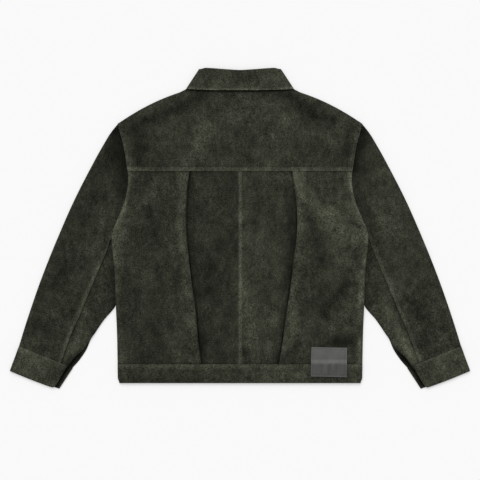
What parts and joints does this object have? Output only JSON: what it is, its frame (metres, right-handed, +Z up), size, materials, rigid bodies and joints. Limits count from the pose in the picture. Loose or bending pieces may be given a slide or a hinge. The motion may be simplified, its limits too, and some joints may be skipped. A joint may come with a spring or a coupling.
{
  "type": "suede jacket",
  "caption": "Boxy suede jacket laid flat with its back up: back yoke, knife pleats, hem band, slit cuffs, turned-down collar and a plain leather patch.",
  "frame": {"origin": "centre of the laid jacket's outline, on the surface that it lies on", "axes": "+X across the jacket to the side with the patch, +Y from the hem to the collar, +Z up from the surface"},
  "size_m": [1.0246, 0.7138, 0.0121],
  "materials": {
    "suede": "napped dark olive suede",
    "patch_leather": "smooth matt grey leather"
  },
  "bodies": {
    "root": {"back_yoke": "suede", "back_panel_left": "suede", "back_panel_right": "suede", "front_left": "suede", "front_right": "suede", "hem_band": "suede", "sleeve_upper_left": "suede", "sleeve_upper_right": "suede", "sleeve_under_left": "suede", "sleeve_under_right": "suede", "cuff_left": "suede", "cuff_right": "suede", "collar": "suede", "patch": "patch_leather"}
  },
  "joints": []
}
